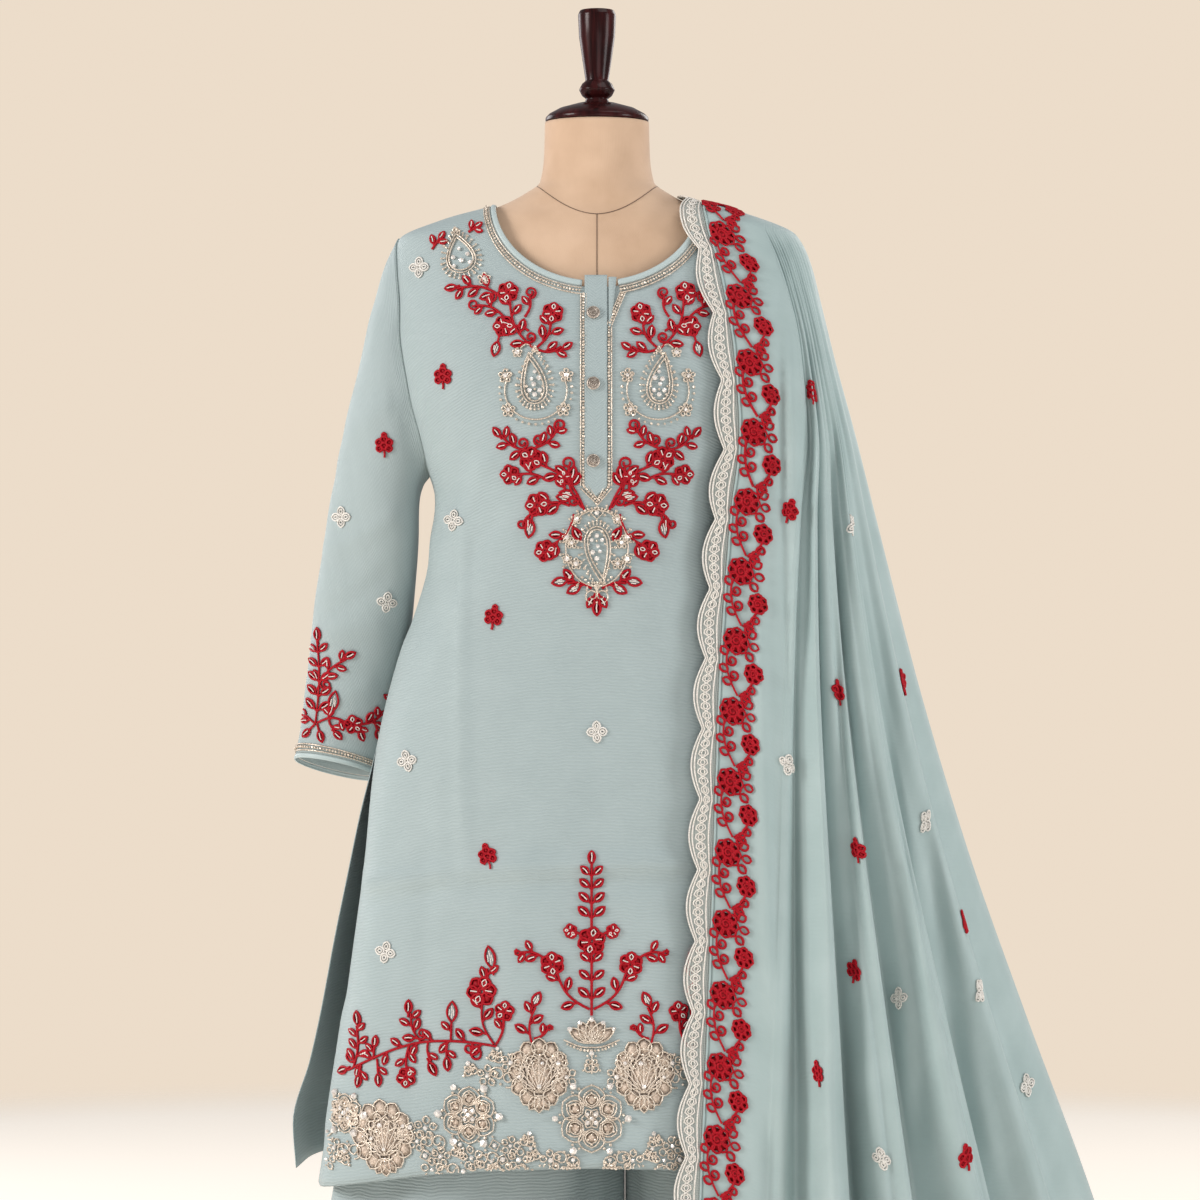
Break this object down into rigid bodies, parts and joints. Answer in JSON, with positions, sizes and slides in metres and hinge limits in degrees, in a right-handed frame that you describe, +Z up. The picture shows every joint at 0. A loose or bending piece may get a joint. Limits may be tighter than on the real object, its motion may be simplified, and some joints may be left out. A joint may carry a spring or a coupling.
{
  "type": "salwar kameez suit on dress form",
  "caption": "Knee-length kurta, wide trousers and a dupatta over the left shoulder, standing on a limbless dress form with a round wooden base.",
  "frame": {"origin": "centre of the base's underside, on the floor", "axes": "+Z up, the front faces -Y, +X to the wearer's left, the side that carries the dupatta"},
  "size_m": [0.8406, 0.4845, 1.617],
  "materials": {
    "kurta_crepe": "matt aqua crepe with red thread and silver bead embroidery",
    "dupatta_chiffon": "soft aqua chiffon with a red floral border and scattered sprigs",
    "net_lace": "beige net lace with off-white thread chains",
    "jersey": "beige jersey stretched over a firm torso",
    "dark_wood": "glossy dark mahogany",
    "silver_metal": "antique silver"
  },
  "bodies": {
    "root": {"form_body": "jersey", "form_cap": "dark_wood", "form_finial": "dark_wood", "form_pole": "dark_wood", "form_base": "dark_wood", "kurta_front": "kurta_crepe", "kurta_back": "kurta_crepe", "neck_binding": "kurta_crepe", "placket_band": "kurta_crepe", "placket_flap": "kurta_crepe", "button_1": "silver_metal", "button_2": "silver_metal", "button_3": "silver_metal", "sleeve_right": "kurta_crepe", "sleeve_left": "kurta_crepe", "cuff_binding_right": "kurta_crepe", "cuff_binding_left": "kurta_crepe", "trouser_right": "kurta_crepe", "trouser_left": "kurta_crepe", "waistband": "kurta_crepe", "dupatta_front": "dupatta_chiffon", "dupatta_back": "dupatta_chiffon", "dupatta_lace": "net_lace"}
  },
  "joints": []
}
